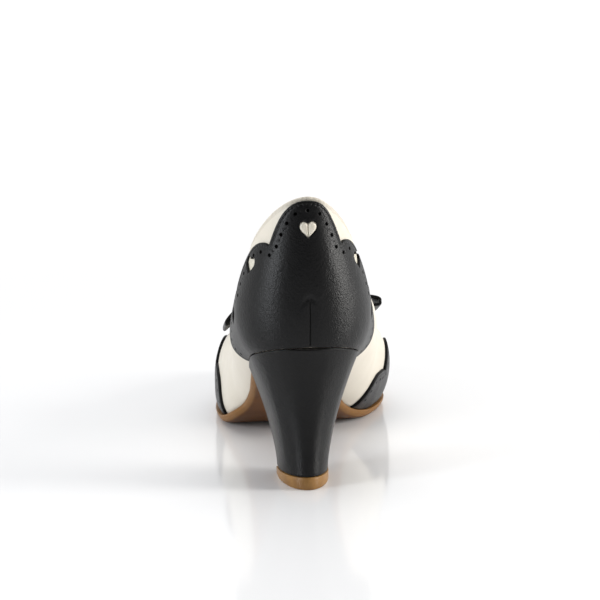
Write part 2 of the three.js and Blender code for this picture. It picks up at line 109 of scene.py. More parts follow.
# Station of the last; how far the wall swells out (on each side) and up from the feather line, and leans out and drops
# from the topline, all as shares of BALL_WIDTH.
WALL = stations(
    "outer inner rise lean drop",
    [
        (0.00, 0.05, 0.05, 0.20, 0.035, 0.30),
        (0.12, 0.14, 0.14, 0.14, 0.090, 0.24),
        (0.30, 0.18, 0.22, 0.12, 0.115, 0.18),
        (0.45, 0.13, 0.25, 0.10, 0.080, 0.15),
        (0.60, 0.06, 0.14, 0.10, 0.170, 0.15),
        (0.75, 0.05, 0.07, 0.15, 0.420, 0.18),
        (0.87, 0.04, 0.04, 0.22, 0.700, 0.26),
        (1.00, 0.03, 0.03, 0.25, 0.850, 0.34),
    ],
)


def end_round(at, back, back_power, front, front_power):
    """Factor that rounds an outline off to its ends, like a superellipse over the share of the length at each end."""
    q = np.maximum.reduce([(back - at) / back, (at - 1 + front) / front, 0 * at])
    return np.sqrt(np.maximum(1 - q ** np.where(at < 0.5, back_power, front_power), 0))


def station_of(turn):
    """Share of the length, by a cosine of turn, which is 0 at the back and 0.5 at the toe, inner side first."""
    return (1 - np.cos(2 * np.pi * turn)) / 2


def side_of(turn):
    """1 on the inner side of the shoe, -1 on the outer."""
    return np.where(turn % 1 < 0.5, 1, -1)


def bottom_at(y):
    """Height of the last's bottom, the same straight across the shoe."""
    return FEATHER_LOW + HEEL_RISE * FEATHER["lift"](np.clip((y - LAST_BACK) / LAST_LENGTH, 0, 1))


def feather_point(turn):
    """Bottom edge of the last: y is the station, x the shift and the half width, rounded off at heel and toe."""
    at, side = station_of(turn), side_of(turn)
    half = np.where(side > 0, FEATHER["inner"](at), FEATHER["outer"](at)) * end_round(at, 0.115, 2.3, 0.3, 2.3)
    y = LAST_BACK + LAST_LENGTH * at
    return np.stack([BALL_WIDTH * (FEATHER["shift"](at) + side * half), y, bottom_at(y)], -1)


def topline_point(turn):
    """Collar's edge: like the feather line, over the collar's own length, falling from the back to the throat."""
    at = FEATHER["collar"](station_of(turn))
    half = COLLAR_WIDTH * TOPLINE["half"](at) * end_round(at, 0.2, 1.5, 0.34, 2.2)
    x = BALL_WIDTH * TOPLINE["shift"](at) + side_of(turn) * half
    z = THROAT_TOP + (BACK_TOP - THROAT_TOP) * TOPLINE["height"](at)
    return np.stack([x, LAST_BACK + COLLAR_INSET + COLLAR_LENGTH * at, z], -1)


def unit(vector):
    """Vectors divided by their lengths."""
    return vector / np.maximum(np.linalg.norm(vector, axis=-1, keepdims=True), 1e-12)


def outward(line, turn):
    """Level direction out of a closed line: its tangent turned by a quarter."""
    along = line(turn + 1e-3) - line(turn - 1e-3)
    return unit(np.stack([along[..., 1], -along[..., 0], 0 * turn], -1))


def beside_feather(turn, out, above):
    """Point out from the feather line, at a height above the last's bottom."""
    point = feather_point(turn) + outward(feather_point, turn) * np.asarray(out)[..., None]
    point[..., 2] = bottom_at(point[..., 1]) + above
    return point


def last_point(turn, up):
    """Last's surface: for each turn a cubic curve with two handles, from the feather line (0) to the topline (1)."""
    turn, up = np.broadcast_arrays(turn, up)
    at = station_of(turn)
    start, end = feather_point(turn), topline_point(turn)
    belly = np.where(side_of(turn) > 0, WALL["inner"](at), WALL["outer"](at))
    low = outward(feather_point, turn) * (BALL_WIDTH * belly)[..., None]
    high = outward(topline_point, turn) * (BALL_WIDTH * WALL["lean"](at))[..., None]
    low[..., 2] = BALL_WIDTH * WALL["rise"](at)
    high[..., 2] = -BALL_WIDTH * WALL["drop"](at)
    t = up[..., None]
    bend = 3 * (1 - t) ** 2 * t * (start + low) + 3 * (1 - t) * t**2 * (end + high)
    return (1 - t) ** 3 * start + bend + t**3 * end


def last_frame(turn, up):
    """Normal of the last and the direction up its wall, both of length 1."""
    turn, up = np.broadcast_arrays(turn, up)
    low, high = np.maximum(up - 1e-3, 0), np.minimum(up + 1e-3, 1)
    along = last_point(turn + 1e-3, up) - last_point(turn - 1e-3, up)
    rise = unit(last_point(turn, high) - last_point(turn, low))
    return unit(np.cross(along, rise)), rise


def lifted(turn, up, height):
    """Point at a height above the last, and no lower than the upper's own underside."""
    point = last_point(turn, up) + last_frame(turn, up)[0] * np.asarray(height)[..., None]
    point[..., 2] = np.maximum(point[..., 2], bottom_at(point[..., 1]) - UPPER_WALL)
    return point


def grid_faces(rows, columns, wrap_rows, wrap_columns):
    """Faces of a grid of points, kept row by row; a wrapped grid joins its last row or column to its first."""
    i, j = np.meshgrid(np.arange(rows - (not wrap_rows)), np.arange(columns - (not wrap_columns)), indexing="ij")
    i, j = i.ravel(), j.ravel()
    a, b = (i + 1) % rows * columns, (j + 1) % columns
    return np.stack([i * columns + j, i * columns + b, a + b, a + j], 1)


def end_faces(columns, first, on_middle):
    """Strips that close a ring, between the points that face each other across it."""
    i = np.arange(columns // 2 if on_middle else (columns - 1) // 2)
    facing = columns - i if on_middle else columns - 1 - i
    faces = first + np.stack([i, i + 1, facing - 1, facing], 1) % columns
    return [list(dict.fromkeys(face)) for face in faces.tolist()]


def shell(name, points, node=None, ends=None, crease=40, second=None):
    """Closed piece from rings of points: grid of ring by point. ends is None where the rings themselves go round.

    The faces in the columns from second's first to its last wear the piece's second material.
    """
    rings, columns = points.shape[:2]
    faces = grid_faces(rings, columns, ends is None, True).tolist()
    if ends is not None:
        faces += end_faces(columns, 0, ends == "middle") + end_faces(columns, (rings - 1) * columns, ends == "middle")
    mesh = bpy.data.meshes.new(name)
    mesh.from_pydata(points.reshape(-1, 3), [], faces)
    if second:
        wears = np.zeros((rings, columns), np.int32)
        wears[:, second[0] : second[1] + 1] = 1
        mesh.polygons.foreach_set("material_index", wears.ravel())
    form = bmesh.new()
    form.from_mesh(mesh)
    bmesh.ops.remove_doubles(form, verts=form.verts, dist=1e-6)
    bmesh.ops.dissolve_degenerate(form, edges=form.edges, dist=1e-7)
    bmesh.ops.recalc_face_normals(form, faces=form.faces)
    if form.calc_volume(signed=True) < 0:
        bmesh.ops.reverse_faces(form, faces=form.faces)
    form.to_mesh(mesh)
    form.free()
    mesh.shade_smooth()
    mesh.set_sharp_from_angle(angle=np.radians(crease))
    piece = bpy.data.objects.new(name, mesh)
    bpy.context.collection.objects.link(piece)
    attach(piece, "root")
    if node:
        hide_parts(node)
    return piece


def corners(piece):
    """Places of all the corners of a piece, as one array."""
    places = np.empty(len(piece.data.vertices) * 3, np.float32)
    piece.data.vertices.foreach_get("co", places)
    return places.reshape(-1, 3)


def mark(piece, name, values):
    """Keeps one number for each corner of a piece, for its material."""
    layer = piece.data.attributes.new(name, "FLOAT", "POINT")
    layer.data.foreach_set("value", np.asarray(values, np.float32))


class Field:
    """A socket that can be used in sums: each operator adds a Math node."""

    def __init__(self, nodes, socket):
        self.nodes, self.socket = nodes, socket

    def math(self, operation, *others):
        """The operation on this field and others."""
        return self.nodes.node("ShaderNodeMath", {"operation": operation}, dict(enumerate((self, *others))))

    def __add__(self, other):
        return self.math("ADD", other)

    def __sub__(self, other):
        return self.math("SUBTRACT", other)

    def __mul__(self, other):
        return self.math("MULTIPLY", other)

    def __rsub__(self, other):
        return self.nodes.node("ShaderNodeMath", {"operation": "SUBTRACT"}, {0: other, 1: self})

    __radd__, __rmul__ = __add__, __mul__

    def step(self, low, high):
        """Goes softly from 0 to 1 as the field goes from low to high."""
        return self.between(low, high, 0.0, 1.0)

    def between(self, low, high, start, end):
        """Goes softly from start to end as the field goes from low to high."""
        inputs = {"Value": self, "From Min": low, "From Max": high, "To Min": start, "To Max": end}
        return self.nodes.node("ShaderNodeMapRange", {"interpolation_type": "SMOOTHSTEP"}, inputs)

    def near(self, place, width):
        """1 at a value and 0 beyond a width from it."""
        return 1 - (self - place).math("ABSOLUTE").step(width * 0.5, width)


class Nodes:
    """A tree of nodes: each node in it comes from one method."""

    def __init__(self, tree):
        self.tree = tree

    def node(self, kind, settings, inputs, output=0):
        """Adds a node: first its settings, then the values or links of its sockets."""
        node = self.tree.nodes.new(kind)
        for key, value in settings.items():
            setattr(node, key, value)
        for key, value in inputs.items():
            self.feed(node.inputs[key], value)
        return Field(self, node.outputs[output])

    def feed(self, socket, value):
        """Links a field to a socket, or sets the socket's value."""
        if isinstance(value, Field):
            self.tree.links.new(value.socket, socket)
        else:
            socket.default_value = value


class Paint(Nodes):
    """One material made of nodes, and the pieces that wear it."""

    def __init__(self, name, colour, roughness, specular=0.5):
        self.material = bpy.data.materials.new(name)
        self.material.use_nodes = True
        super().__init__(self.material.node_tree)
        self.shader = self.tree.nodes["Principled BSDF"]
        self.finish(Base_Color=(*colour, 1), Roughness=roughness, Specular_IOR_Level=specular)
        self.place = self.node("ShaderNodeTexCoord", {}, {}, "Object")

    def noise(self, size, detail=2.0):
        """Cloudy field from 0 to 1; size is that of its blotches in metres."""
        return self.node("ShaderNodeTexNoise", {}, {"Vector": self.place, "Scale": 1 / size, "Detail": detail})

    def cells(self, size):
        """Distance to the nearest of scattered points, as in the pebbles of a grain."""
        return self.node("ShaderNodeTexVoronoi", {}, {"Vector": self.place, "Scale": 1 / size}, "Distance")

    def kept(self, name):
        """The numbers kept on the piece under a name."""
        return self.node("ShaderNodeAttribute", {"attribute_name": name}, {}, "Fac")

    def blend(self, share, first, second):
        """Mix of two colours."""
        inputs = {0: share, 6: first if isinstance(first, Field) else (*first, 1), 7: (*second, 1)}
        return self.node("ShaderNodeMix", {"data_type": "RGBA"}, inputs, 2)

    def finish(self, relief=None, **sockets):
        """Feeds the shader: relief in metres becomes a bump, and each name a socket."""
        if relief is not None:
            bump = self.node("ShaderNodeBump", {}, {"Height": relief, "Distance": 1.0, "Strength": 1.0})
            self.feed(self.shader.inputs["Normal"], bump)
        for name, value in sockets.items():
            self.feed(self.shader.inputs[name.replace("_", " ")], value)

    def wear(self, *pieces):
        """Gives the material to pieces, after any that they have."""
        for piece in pieces:
            piece.data.materials.append(self.material)


TURNS = 460  # sections round the shoe
turns = np.arange(TURNS)[:, None] / TURNS
FOLD_DEPTH, FOLD_SWELL = 1.8 * MM, 0.15 * MM  # the collar's folded edge: how far down it goes, and how proud it stands
FOLD_START = 0.93  # above this share of the wall the rows of points are closer together
LINING_ROWS, ROLL_ROWS = 40, 8
ROLL_RISE = 0.8  # the collar's edge rolls over by half an ellipse, whose height is this share of half its width
wall_ups = np.concatenate([np.linspace(0, FOLD_START, 62, endpoint=False), np.linspace(FOLD_START, 1, 14)])[None]
below_collar = np.linalg.norm(last_point(turns, wall_ups) - last_point(turns, 1.0), axis=-1)
fold = FOLD_SWELL * np.clip(1 - below_collar / FOLD_DEPTH, 0, 1) ** 0.5
outside = lifted(turns, wall_ups, UPPER_WALL + fold)
collar_normal, collar_rise = last_frame(turns, np.array([[1.0]]))
roll = np.linspace(0, np.pi, ROLL_ROWS + 2)[None, 1:-1, None]
half_wall = (UPPER_WALL + FOLD_SWELL) / 2
rolled = (1 + np.cos(roll)) * collar_normal + ROLL_RISE * np.sin(roll) * collar_rise
collar_edge = last_point(turns, 1.0) + half_wall * rolled
lining = last_point(turns, np.linspace(1, 0, LINING_ROWS)[None])
margin_outs = -LASTING_MARGIN * np.array([[0.3, 1, 1, 0.3, 0]])
margin = beside_feather(turns + 0 * margin_outs, margin_outs, -UPPER_WALL * np.array([[0, 0, 1, 1, 1]]))
first_lined = outside.shape[1] + ROLL_ROWS - 2
lined = first_lined, first_lined + LINING_ROWS
upper_points = np.concatenate([outside, collar_edge, lining, margin], 1)
upper = shell("upper_leather", upper_points, "upper", second=lined)

topline = last_point(np.linspace(0, 1, 900, endpoint=False), 1.0)


def distance_along(places, line, closed):
    """Distance from each place to a line of points, and how far along the line the nearest spot lies."""
    start, end = (line, np.roll(line, -1, 0)) if closed else (line[:-1], line[1:])
    span = end - start
    length = np.maximum(np.linalg.norm(span, axis=1), 1e-9)
    before = np.concatenate([[0], np.cumsum(length)[:-1]])
    away, along = np.empty(len(places)), np.empty(len(places))
    for part in np.array_split(np.arange(len(places)), max(1, len(places) * len(start) // 4_000_000)):
        offset = places[part, None] - start[None]
        t = np.clip((offset * span).sum(-1) / length**2, 0, 1)
        gap = np.linalg.norm(offset - t[..., None] * span, axis=-1)
        best = gap.argmin(1)
        rows = np.arange(len(part))
        away[part], along[part] = gap[rows, best], before[best] + t[rows, best] * length[best]
    return away, along


away, along = distance_along(corners(upper), topline, True)
mark(upper, "edge", away)
mark(upper, "along", along)

STITCH, THREAD, THREAD_RISE = 2.3 * MM, 0.28 * MM, 0.14 * MM  # from one stitch to the next; the thread's width and rise
COLLAR_STITCH = 1.5 * MM  # from the collar's edge to its stitches


def stitch_row(paint, inset):
    """Field of 1 on the stitches of a row that runs an inset away from the edge."""
    share = (paint.kept("along") * (1 / STITCH)).math("FRACT")
    return paint.kept("edge").near(inset, THREAD * 1.6) * share.near(0.5, 0.42)


def leather(paint, grain, depth):
    """Relief of fine leather: pebbles of two sizes, with a little unevenness under them."""
    pebbles = paint.cells(grain) * depth + paint.cells(grain * 2.3) * (depth * 0.7)
    return pebbles + paint.noise(14 * MM, 3.0) * (0.35 * MM)


cream = Paint("cream_leather", (0.80, 0.765, 0.68), 0.42, specular=0.4)
cloud = cream.noise(38 * MM, 3.0)
# Painted shade: the cream is darkened along the collar's seam line, 1.9 mm below the edge, where shade falls in the
# fold's groove; the same line is also sunk as a groove.
seam_groove_and_painted_shade = cream.kept("edge").near(1.9 * MM, 0.5 * MM)
cream_colour = cream.blend(cloud.step(0.3, 0.75), (0.66, 0.61, 0.52), (0.70, 0.65, 0.56))
cream_colour = cream.blend(seam_groove_and_painted_shade * 0.3, cream_colour, (0.45, 0.40, 0.32))
cream_relief = leather(cream, 0.55 * MM, 0.018 * MM) - seam_groove_and_painted_shade * (0.12 * MM)
cream_relief = cream_relief + stitch_row(cream, COLLAR_STITCH) * THREAD_RISE
cream.finish(cream_relief, Base_Color=cream_colour, Roughness=0.4 + cream.noise(9 * MM) * 0.12)
cream.wear(upper)

lining_paint = Paint("collar_lining", (0.62, 0.60, 0.50), 0.7, specular=0.3)
lining_paint.finish(
    lining_paint.cells(0.5 * MM) * (0.03 * MM),
    Base_Color=lining_paint.blend(lining_paint.noise(20 * MM), (0.60, 0.585, 0.49), (0.66, 0.64, 0.55)),
)
lining_paint.wear(upper)

# ---------------------------------------------------------------------------------------------------------------------
# The insole: a thin board covered with a tan sock of fine leather, laid in over the margin of the upper that is turned
# under and glued.
INSOLE_INSET, INSOLE_THICKNESS = 0.8 * MM, 2.4 * MM
insole_outs = -INSOLE_INSET - np.array([0.8, 0.24, 0, 0, 0.24, 0.8])[:, None] * MM
insole_ups = GAP + INSOLE_THICKNESS * np.array([0, 0.05, 0.3, 0.75, 0.95, 1])[:, None]
insole_turns = np.arange(300)[None] / 300 + 0 * insole_outs
insole = shell("insole_sock", beside_feather(insole_turns, insole_outs, insole_ups), "insole", "middle")
sock = Paint("sock", (0.60, 0.50, 0.36), 0.6)
sock.finish(
    leather(sock, 0.5 * MM, 0.02 * MM),
    Base_Color=sock.blend(sock.noise(30 * MM), (0.58, 0.48, 0.34), (0.66, 0.56, 0.41)),
)
sock.wear(insole)

# ---------------------------------------------------------------------------------------------------------------------
# The counter: black leather round the back of the shoe, its scalloped edge folded and stitched, with a row of punched
# holes inside it, heart cut-outs that show the cream, and a closing seam up the middle of the heel.
# Notches from the middle to the end: inner and outer side, share of the way to the toe; up; swell ahead and above.
COUNTER_NOTCHES = [
    (0.0, 0.0, 0.985, 0.0, 0.0),
    (0.108, 0.112, 0.782, 0.0, 0.08),
    (0.21, 0.218, 0.65, 0.018, 0.15),
    (0.275, 0.27, 0.02, 0.07, 0.09),
]
HEART_WIDTH = 8.2 * MM
HEARTS = [(0.0, 0.8), (0.085, 0.755), (-0.085, 0.74), (0.1175, 0.46), (-0.121, 0.47)]  # turn and up
SEAM_TOP, SEAM_FADE = 0.365, 0.012  # shares of the wall's height: where the seam ends, and how softly
SEAM_DEPTH, SEAM_WIDTH, TROUGH_DEPTH, TROUGH_WIDTH = 0.34 * MM, 0.45 * MM, 0.3 * MM, 3.5 * MM
PUCKER_DEPTH, PUCKER_WIDTH, PUCKER_RISE, PUCKER_HEIGHT = 0.6 * MM, 4.5 * MM, 0.014, 0.016
HEEL_GIRTH = 560 * MM  # of a whole turn, at the width that the wall has by the seam


def scallop_edge(notches, side, steps, crowned):
    """Edge through one side's notches: each span is swollen by a full sine; a crown falls off as a fourth power."""
    table = np.array(notches)
    t = np.arange(steps)[None] / steps
    swell = np.sin(np.pi * t) ** 0.8
    at = table[:-1, side, None] * (1 - t) + table[1:, side, None] * t + table[1:, 3, None] * swell
    up = table[:-1, 2, None] * (1 - t) + table[1:, 2, None] * t + table[1:, 4, None] * swell
    if crowned:
        up[0] = table[0, 2] + (table[1, 2] - table[0, 2]) * t[0] ** 4
    return np.append(at, table[-1, side]), np.append(up, table[-1, 2])


def overlay_grid(notches, middle_turn, steps, shares):
    """Turn and up of an overlay: each ring runs from the feather line to the scalloped edge."""
    turn, up = [], []
    for side, sign in ((1, -1), (0, 1)):
        at, height = scallop_edge(notches, side, steps, not middle_turn)
        base = np.linspace(at[0], at[-1], len(at))
        turn.append(sign * (base[:, None] * (1 - shares) + at[:, None] * shares) / 2)
        up.append(height[:, None] * shares)
    if middle_turn:
        order = [turn[1][::-1], turn[0][1:] + 2 * middle_turn], [up[1][::-1], up[0][1:]]
    else:
        order = [turn[0][::-1], turn[1][1:]], [up[0][::-1], up[1][1:]]
    return np.concatenate(order[0]), np.concatenate(order[1])


HOLE_PITCH, HOLE_INSET, HOLE_RADIUS = 5.9 * MM, 4.4 * MM, 0.8 * MM


def punched_holes(top, away):
    """Places at equal steps, both ways from the middle, on the line where the distance to the edge is HOLE_INSET."""
    end = away.shape[1] - 1
    last = end - (away[:, ::-1] >= HOLE_INSET).argmax(1)
    ring, after = np.arange(len(last)), np.minimum(last + 1, end)
    fall = np.maximum(away[ring, last] - away[ring, after], 1e-9)
    share = (away[ring, last] - HOLE_INSET) / fall
    row = top[ring, last] + share[:, None] * (top[ring, after] - top[ring, last])
    row = row[(last > 0) & (last < end)]
    walked = np.concatenate([[0], np.cumsum(np.linalg.norm(np.diff(row, axis=0), axis=1))])
    middle = walked[len(row) // 2]
    spots = middle + HOLE_PITCH * np.arange(-int(middle / HOLE_PITCH) + 1, int((walked[-1] - middle) / HOLE_PITCH))
    return np.stack([np.interp(spots, walked, row[:, k]) for k in range(3)], 1)


EDGE_ROUND, EDGE_FADE = 0.55 * MM, 5 * MM  # edges are rounded; relief fades out towards them
RIM, RIM_GROOVE, RIM_GROOVE_WIDTH = 1.7 * MM, 0.22 * MM, 0.35 * MM  # the folded rim ends in a stitched groove
RIM_STITCH = RIM + 0.5 * MM
NEAR_EDGE = 0.12  # the points are closer together in this last share of the way to the edge
SKIN = 0.03 * MM  # the outer face stands this far off the place of the solid's


def overlay_piece(name, notches, middle_turn, steps, relief):
    """A closed layer over the upper: a quarter circle rounds it off at its edge, and its outer face has a relief."""
    near = NEAR_EDGE * np.linspace(1, 0, 26) ** 1.6
    shares = 1 - np.concatenate([np.linspace(1, NEAR_EDGE, 56, endpoint=False), near])[None]
    turn, up = overlay_grid(notches, middle_turn, steps, shares)
    surface = lifted(turn, up, np.full(turn.shape, UPPER_WALL))
    edge = surface[:, -1]
    away = distance_along(surface.reshape(-1, 3), edge, False)[0].reshape(turn.shape)
    curl = np.clip(away / EDGE_ROUND, 0, 1)
    round_off = np.sqrt(1 - (1 - curl) ** 2)
    groove = -RIM_GROOVE * np.exp(-(((away - RIM) / RIM_GROOVE_WIDTH) ** 2))
    height = (OVERLAY + GAP) * round_off + groove + relief(turn, up) * np.clip(away / EDGE_FADE, 0, 1)
    top = lifted(turn, up, UPPER_WALL + SKIN + height)
    under = lifted(turn[:, ::6], up[:, ::6], np.full(turn[:, ::6].shape, UPPER_WALL + 0.02 * MM))[:, ::-1]
    piece = shell(name, np.concatenate([top, under], 1), name, "across")
    return piece, edge, punched_holes(top, away)


def mark_edge(piece, edge, holes):
    """Keeps for each corner of an overlay its distance to the edge, the way along it and the nearest punched hole."""
    places = corners(piece)
    away, along = distance_along(places, edge, False)
    mark(piece, "edge", away)
    mark(piece, "along", along)
    nearest = np.linalg.norm(places[:, None] - holes[None], axis=-1).argmin(1)
    layer = piece.data.attributes.new("hole", "FLOAT_VECTOR", "POINT")
    layer.data.foreach_set("vector", holes[nearest].astype(np.float32).ravel())


def counter_relief(turn, up):
    """The seam is a sharp groove in a shallow trough; above its end the leather is drawn into a small arched dimple."""
    across = ((turn + 0.5) % 1 - 0.5) * HEEL_GIRTH
    below = 1 / (1 + np.exp((up - SEAM_TOP) / SEAM_FADE))
    groove = -SEAM_DEPTH * np.exp(-((across / SEAM_WIDTH) ** 2)) * below
    trough = -TROUGH_DEPTH * np.exp(-((across / TROUGH_WIDTH) ** 2)) * below
    arch = up - SEAM_TOP - PUCKER_RISE + 0.02 * (across / (4 * MM)) ** 2
    return groove + trough - PUCKER_DEPTH * np.exp(-((across / PUCKER_WIDTH) ** 2) - (arch / PUCKER_HEIGHT) ** 2)


counter, counter_edge, counter_holes = overlay_piece("counter", COUNTER_NOTCHES, 0, 84, counter_relief)


def heart_line(count):
    """Heart of width 1, point down: its right half is two cubic curves, point to side and side to cleft, mirrored."""
    to_side = (0, -0.5), (0.12, -0.3), (0.5, -0.08), (0.5, 0.2)
    to_cleft = (0.5, 0.2), (0.5, 0.56), (0.1, 0.6), (0, 0.36)
    t = np.linspace(0, 1, count // 4, endpoint=False)[:, None]
    powers = np.concatenate([(1 - t) ** 3, 3 * (1 - t) ** 2 * t, 3 * (1 - t) * t**2, t**3], 1)
    half = np.concatenate([powers @ np.array(curve) for curve in (to_side, to_cleft)])
    back = np.concatenate([[(0.0, 0.36)], half[:0:-1] * (-1, 1)])
    return np.concatenate([half, back])


def on_wall(turn, up, flat, height):
    """Puts flat figures on the wall: x across it and y up it, at a height above the last."""
    normal, rise = last_frame(turn, up)
    across = np.cross(rise, normal)
    middle = last_point(turn, up)
    point = middle + flat[..., :1] * across + flat[..., 1:2] * rise
    return point + np.asarray(height)[..., None] * normal


CUTTER_SPAN = -1 * MM, 9 * MM  # the cutter's heights from the last, inside the upper and clear of the counter
for turn, up in HEARTS:
    rings = [on_wall(np.array(turn), np.array(up), HEART_WIDTH * heart_line(72), height) for height in CUTTER_SPAN]
    cutter = shell("cutter", np.stack(rings), ends="middle")
    cut = counter.modifiers.new("heart", "BOOLEAN")
    cut.operation, cut.object, cut.solver = "DIFFERENCE", cutter, "EXACT"
    with bpy.context.temp_override(object=counter, active_object=counter):
        bpy.ops.object.modifier_apply(modifier=cut.name)
    bpy.data.objects.remove(cutter)

mark_edge(counter, counter_edge, counter_holes)
seam_line = last_point(0.0, np.linspace(0, SEAM_TOP, 60))
places = corners(counter)
from_seam = np.abs(places[:, 0] - np.interp(places[:, 2], seam_line[:, 2], seam_line[:, 0]))
mark(counter, "seam", np.where(places[:, 2] < seam_line[-1, 2], from_seam, 1.0))


def black_leather(name, edged):
    """Black leather with a fine grain; an edged piece has a folded rim, a row of stitches and punched holes, with
    painted shade in its holes, seam and groove.
    """
    paint = Paint(name, (0.0025, 0.0025, 0.0027), 0.36, specular=0.22)
    cloud = paint.noise(26 * MM, 3.0)
    relief = leather(paint, 0.62 * MM, 0.075 * MM)
    roughness, metallic = 0.31 + cloud * 0.12, 0.0
    colour = paint.blend(cloud.step(0.3, 0.8), (0.0022, 0.0022, 0.0024), (0.004, 0.004, 0.0041))
    if edged:
        edge = paint.kept("edge")
        spot = paint.node("ShaderNodeAttribute", {"attribute_name": "hole"}, {}, "Vector")
        apart = paint.node("ShaderNodeVectorMath", {"operation": "DISTANCE"}, {0: paint.place, 1: spot}, "Value")
        hole = 1 - apart.step(HOLE_RADIUS * 0.8, HOLE_RADIUS * 1.2)
        rim = 1 - edge.step(RIM - 0.4 * MM, RIM)
        groove = edge.near(RIM, 0.5 * MM)
        seam = 1 - paint.kept("seam").step(0.25 * MM, 0.55 * MM)
        relief = relief - hole * (1.0 * MM) + stitch_row(paint, RIM_STITCH) * THREAD_RISE
        roughness = roughness + rim * 0.28 + hole * 0.5 + seam * 0.5
        # Painted shade: the punched holes, the heel's seam and the groove inside the rim are darkened where shade falls
        # in them; the folded rim is darker in its own tone.
        painted_shade_and_rim = (hole + seam + rim * 0.6 + groove * 0.6).math("MINIMUM", 1.0)
        colour = paint.blend(painted_shade_and_rim, colour, (0.001, 0.001, 0.001))
        metallic = hole  # the black of the holes is painted shade, and with it this leaves a hole no gloss
    paint.finish(relief, Base_Color=colour, Roughness=roughness, Metallic=metallic)
    return paint


edged_black = black_leather("black_leather_edged", True)
edged_black.wear(counter)

# ---------------------------------------------------------------------------------------------------------------------
# The hearts: pads of the cream leather that swell out through the cut-outs of the counter. The upper's seam crosses the
# middle one, and the ones at the sides lie almost flat.
HEART_PUFF, SIDE_PUFF, HEART_PLAY, HEART_ROOT = 1.7 * MM, 0.15 * MM, 0.995, 0.8 * MM
HEART_SEAM_WIDTH, HEART_SEAM_DEPTH = 0.42 * MM, 0.42  # the seam's depth is a share of the pad's height


def heart_pad(index, turn, up):
    """Pillow over a heart: its rings shrink to the middle, and its height is 1 less the 7th power of their size."""
    size = np.concatenate([[1.0, 1.0], np.cos(np.linspace(0, np.pi / 2, 22))[:-1], [0.002]])[:, None]
    flat = HEART_PLAY * HEART_WIDTH * heart_line(96)[None] * size[..., None]
    puff = (SIDE_PUFF if index else HEART_PUFF) * np.maximum(1 - size**7, 0) + 0 * flat[..., 0]
    seam = np.exp(-((flat[..., 0] / HEART_SEAM_WIDTH) ** 2)) * (index == 0)
    height = UPPER_WALL + 0.05 * MM + puff * (1 - HEART_SEAM_DEPTH * seam)
    height[0] = UPPER_WALL - HEART_ROOT
    points = on_wall(np.array(turn), np.array(up), flat, height)
    return shell(f"heart_{index}", points, ends="middle")


cream_plain = Paint("cream_leather_plain", (0.80, 0.765, 0.68), 0.45, specular=0.4)
cream_plain.finish(
    leather(cream_plain, 0.55 * MM, 0.02 * MM),
    Base_Color=cream_plain.blend(cream_plain.noise(4 * MM), (0.64, 0.60, 0.50), (0.70, 0.65, 0.55)),
)
cream_plain.wear(*[heart_pad(index, turn, up) for index, (turn, up) in enumerate(HEARTS)])

# ---------------------------------------------------------------------------------------------------------------------
# The wingtip: the same black leather round the toe and the forepart, cut to a point towards the throat and scalloped
# down the sides, with the same folded edge, stitches and punched holes. It has no seam.
# Notches as in the counter, from the middle of the toe back.
WING_NOTCHES = [
    (1.0, 1.0, 0.76, 0.0, 0.0),
    (0.84, 0.86, 0.55, 0.0, 0.02),
    (0.7, 0.76, 0.53, 0.0, 0.1),
    (0.585, 0.655, 0.41, 0.0, 0.13),
    (0.51, 0.54, 0.03, -0.025, 0.13),
]
wing, wing_edge, wing_holes = overlay_piece("wingtip", WING_NOTCHES, 0.5, 66, lambda turn, up: 0 * up)
mark_edge(wing, wing_edge, wing_holes)
mark(wing, "seam", np.ones(len(wing.data.vertices)))
edged_black.wear(wing)

# ---------------------------------------------------------------------------------------------------------------------
# The outsole: one tan piece glued on from the heel's breast to the toe, thin at the waist, its edge rounded, with
# painted light that makes the edge paler than the underside.
SOLE_THICKNESS, WAIST_THICKNESS, SOLE_PROJECTION, SOLE_BEVEL = 4.3 * MM, 2.8 * MM, 1.2 * MM, 4.4 * MM
BREAST_Y = 23 * MM
sole_turn = np.arccos(1 - 2 * (BREAST_Y + GAP - LAST_BACK) / LAST_LENGTH) / (2 * np.pi)
sole_turns = np.linspace(sole_turn, 1 - sole_turn, 360)[None]
waist = 1 - np.clip((station_of(sole_turns) - 0.4) / 0.18, 0, 1)
waist = waist * waist * (3 - 2 * waist)
down = np.array([1, 0.98, 0.93, 0.8, 0.62, 0.45, 0.25, 0.06, 0.01, 0])[:, None]
inset = np.array([1, 0.8, 0.6, 0.35, 0.18, 0.08, 0.02, 0, 0.03, 0.1])[:, None]
sole_edge = UPPER_WALL + (GAP + OVERLAY + SOLE_PROJECTION) * (1 - waist)
sole_rings = beside_feather(
    sole_turns + 0 * down,
    sole_edge - inset * SOLE_BEVEL,
    -UPPER_WALL - GAP - down * (SOLE_THICKNESS * (1 - waist) + WAIST_THICKNESS * waist),
)
outsole = shell("outsole", sole_rings, "outsole", "across", 50)
rim_line = beside_feather(sole_turns[0], sole_edge[0], -UPPER_WALL - GAP - 0.4 * SOLE_THICKNESS)
mark(outsole, "edge", distance_along(corners(outsole), rim_line, False)[0])
tan = Paint("sole_tan", (0.14, 0.06, 0.015), 0.4, specular=0.15)
tan_cloud = tan.noise(18 * MM, 4.0)
# Painted light: the rounded edge is painted paler than the underside, standing for the light that falls on it.
tan_edge_painted_light = 1 - tan.kept("edge").step(2.0 * MM, 3.6 * MM)
tan_colour = tan.blend(tan_cloud.step(0.3, 0.75), (0.1, 0.036, 0.007), (0.145, 0.056, 0.012))
tan_colour = tan.blend(tan_edge_painted_light, tan_colour, (0.22, 0.105, 0.03))
tan.finish(
    tan.noise(0.7 * MM, 3.0) * (0.05 * MM) + tan_cloud * (0.2 * MM),
    Base_Color=tan_colour,
    Roughness=0.34 + tan_cloud * 0.16,
)
tan.wear(outsole)

